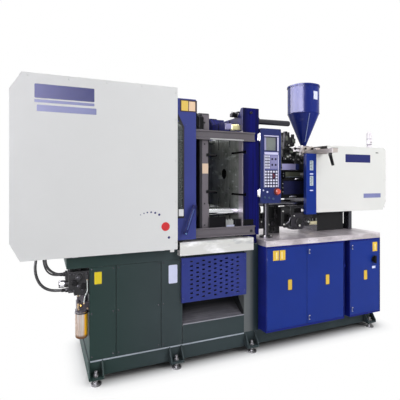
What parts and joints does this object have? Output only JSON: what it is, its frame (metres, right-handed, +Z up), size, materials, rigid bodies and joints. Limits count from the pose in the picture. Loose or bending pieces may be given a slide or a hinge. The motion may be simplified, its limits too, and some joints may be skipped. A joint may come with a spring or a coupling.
{
  "type": "injection moulding machine",
  "caption": "Horizontal plastics injection moulding machine with sliding mould guards, clamp unit, hopper-fed injection unit, control panel and a door-fronted base cabinet.",
  "frame": {"origin": "on the floor, on the machine's centreline, below the fixed platen's mould face, within 21 mm of the middle of the bounding box's base", "axes": "+X along the machine from the clamp to the injection end, -Y toward the operator, +Z up"},
  "size_m": [3.665, 1.0233, 2.5066],
  "materials": {
    "white_paint": "satin",
    "blue_paint": "satin",
    "navy_paint": "satin",
    "slate_paint": "satin",
    "light_grey_paint": "satin",
    "stainless": "brushed",
    "ground_steel": "ground",
    "hard_chrome": "polished",
    "black_steel": "satin",
    "cast_green": "painted",
    "hose_rubber": "matt",
    "amber_plastic": "glossy",
    "clear_sheet": "glossy",
    "red_plastic": "glossy",
    "black_plastic": "matt"
  },
  "bodies": {
    "base": {"bottom_frame": "slate_paint", "levelling_feet": "black_steel", "clamp_base_body": "slate_paint", "clamp_bed": "slate_paint", "base_panels": "slate_paint", "parts_chute": "stainless", "slotted_guard": "blue_paint", "mould_ledge": "stainless", "fixed_platen": "navy_paint", "rear_platen": "cast_green", "tie_bars": "hard_chrome", "cover_front": "white_paint", "cover_rear": "white_paint", "cover_hood": "white_paint", "gate_rails": "light_grey_paint", "guard_bar": "ground_steel", "injection_cabinet": "blue_paint", "worktop": "stainless", "pump_motor": "light_grey_paint", "control_plate": "light_grey_paint", "guide_rods": "hard_chrome", "panel_post": "black_steel", "valve_block": "light_grey_paint", "lube_pump": "light_grey_paint", "oil_reservoir": "amber_plastic", "hose_long": "hose_rubber", "hose_thin": "hose_rubber", "hose_short": "hose_rubber", "lube_tube": "hose_rubber"},
    "platen": {"moving_platen": "cast_green", "clamp_ram": "hard_chrome", "ejector_cylinder": "black_steel"},
    "ejector": {"ejector_plate": "ground_steel"},
    "front_gate_body": {"front_gate": "blue_paint", "gate_window": "clear_sheet", "gate_handle": "black_plastic"},
    "rear_gate_body": {"rear_gate": "blue_paint"},
    "door_left": {"cabinet_door_left": "blue_paint"},
    "door_middle": {"cabinet_door_middle": "blue_paint"},
    "door_right": {"cabinet_door_right": "blue_paint"},
    "switch": {"main_switch": "black_plastic"},
    "carriage": {"injection_carriage": "black_steel", "barrel": "ground_steel", "heater_bands": "stainless", "nozzle": "ground_steel", "injection_cylinders": "black_steel", "valve_manifold": "ground_steel", "guard_post": "blue_paint", "injection_cover": "white_paint", "beacon_lamp": "black_plastic", "hopper_slide_rail": "ground_steel"},
    "drive": {"screw_drive": "black_steel"},
    "screw_body": {"screw": "hard_chrome"},
    "hopper_slide": {"hopper_slide_block": "light_grey_paint", "hopper": "navy_paint"},
    "lid": {"hopper_lid": "navy_paint"},
    "shutter": {"hopper_shutter": "black_plastic"},
    "lock_lever": {"hopper_lock_lever": "black_plastic"},
    "panel": {"control_panel": "blue_paint"},
    "stop_button": {"emergency_stop": "red_plastic"}
  },
  "joints": [
    {"name": "platen_slide", "type": "slide", "parent": "base", "child": "platen", "axis": [1, 0, 0], "range_m": [-0.14, 0.16]},
    {"name": "ejector_slide", "type": "slide", "parent": "platen", "child": "ejector", "axis": [1, 0, 0], "range_m": [0, 0.06]},
    {"name": "front_gate_slide", "type": "slide", "parent": "base", "child": "front_gate_body", "axis": [1, 0, 0], "range_m": [0, 0.575]},
    {"name": "rear_gate_slide", "type": "slide", "parent": "base", "child": "rear_gate_body", "axis": [1, 0, 0], "range_m": [-0.57, 0]},
    {"name": "door_left_hinge", "type": "hinge", "parent": "base", "child": "door_left", "pos_m": [0.17, -0.486, 0.5505], "axis": [0, 0, -1], "range_deg": [0, 95]},
    {"name": "door_middle_hinge", "type": "hinge", "parent": "base", "child": "door_middle", "pos_m": [1.017, -0.486, 0.5505], "axis": [0, 0, 1], "range_deg": [0, 95]},
    {"name": "door_right_hinge", "type": "hinge", "parent": "base", "child": "door_right", "pos_m": [1.487, -0.486, 0.5505], "axis": [0, 0, 1], "range_deg": [0, 95]},
    {"name": "main_switch_turn", "type": "hinge", "parent": "door_right", "child": "switch", "pos_m": [1.411, -0.494, 0.712], "axis": [0, 1, 0], "range_deg": [0, 90]},
    {"name": "carriage_slide", "type": "slide", "parent": "base", "child": "carriage", "axis": [1, 0, 0], "range_m": [-0.17, 0]},
    {"name": "injection_stroke", "type": "slide", "parent": "carriage", "child": "drive", "axis": [1, 0, 0], "range_m": [-0.12, 0]},
    {"name": "screw_turn", "type": "hinge", "parent": "drive", "child": "screw_body", "pos_m": [1, 0, 1.555], "axis": [1, 0, 0], "continuous": true},
    {"name": "hopper_slide_out", "type": "slide", "parent": "carriage", "child": "hopper_slide", "axis": [0, -1, 0], "range_m": [0, 0.36]},
    {"name": "lid_hinge", "type": "hinge", "parent": "hopper_slide", "child": "lid", "pos_m": [0.947, 0.181, 2.4803], "axis": [-1, 0, 0], "range_deg": [0, 100]},
    {"name": "shutter_slide", "type": "slide", "parent": "hopper_slide", "child": "shutter", "axis": [-1, 0, 0], "range_m": [0, 0.07]},
    {"name": "lock_lever_turn", "type": "hinge", "parent": "carriage", "child": "lock_lever", "pos_m": [0.947, -0.4, 1.74], "axis": [0, 0, 1], "range_deg": [-60, 60]},
    {"name": "panel_swivel", "type": "hinge", "parent": "base", "child": "panel", "pos_m": [0.285, -0.292, 1.35], "axis": [0, 0, 1], "range_deg": [0, 60]},
    {"name": "stop_press", "type": "slide", "parent": "panel", "child": "stop_button", "axis": [0, 1, 0], "range_m": [0, 0.006], "stiffness_N_per_m": 600}
  ]
}
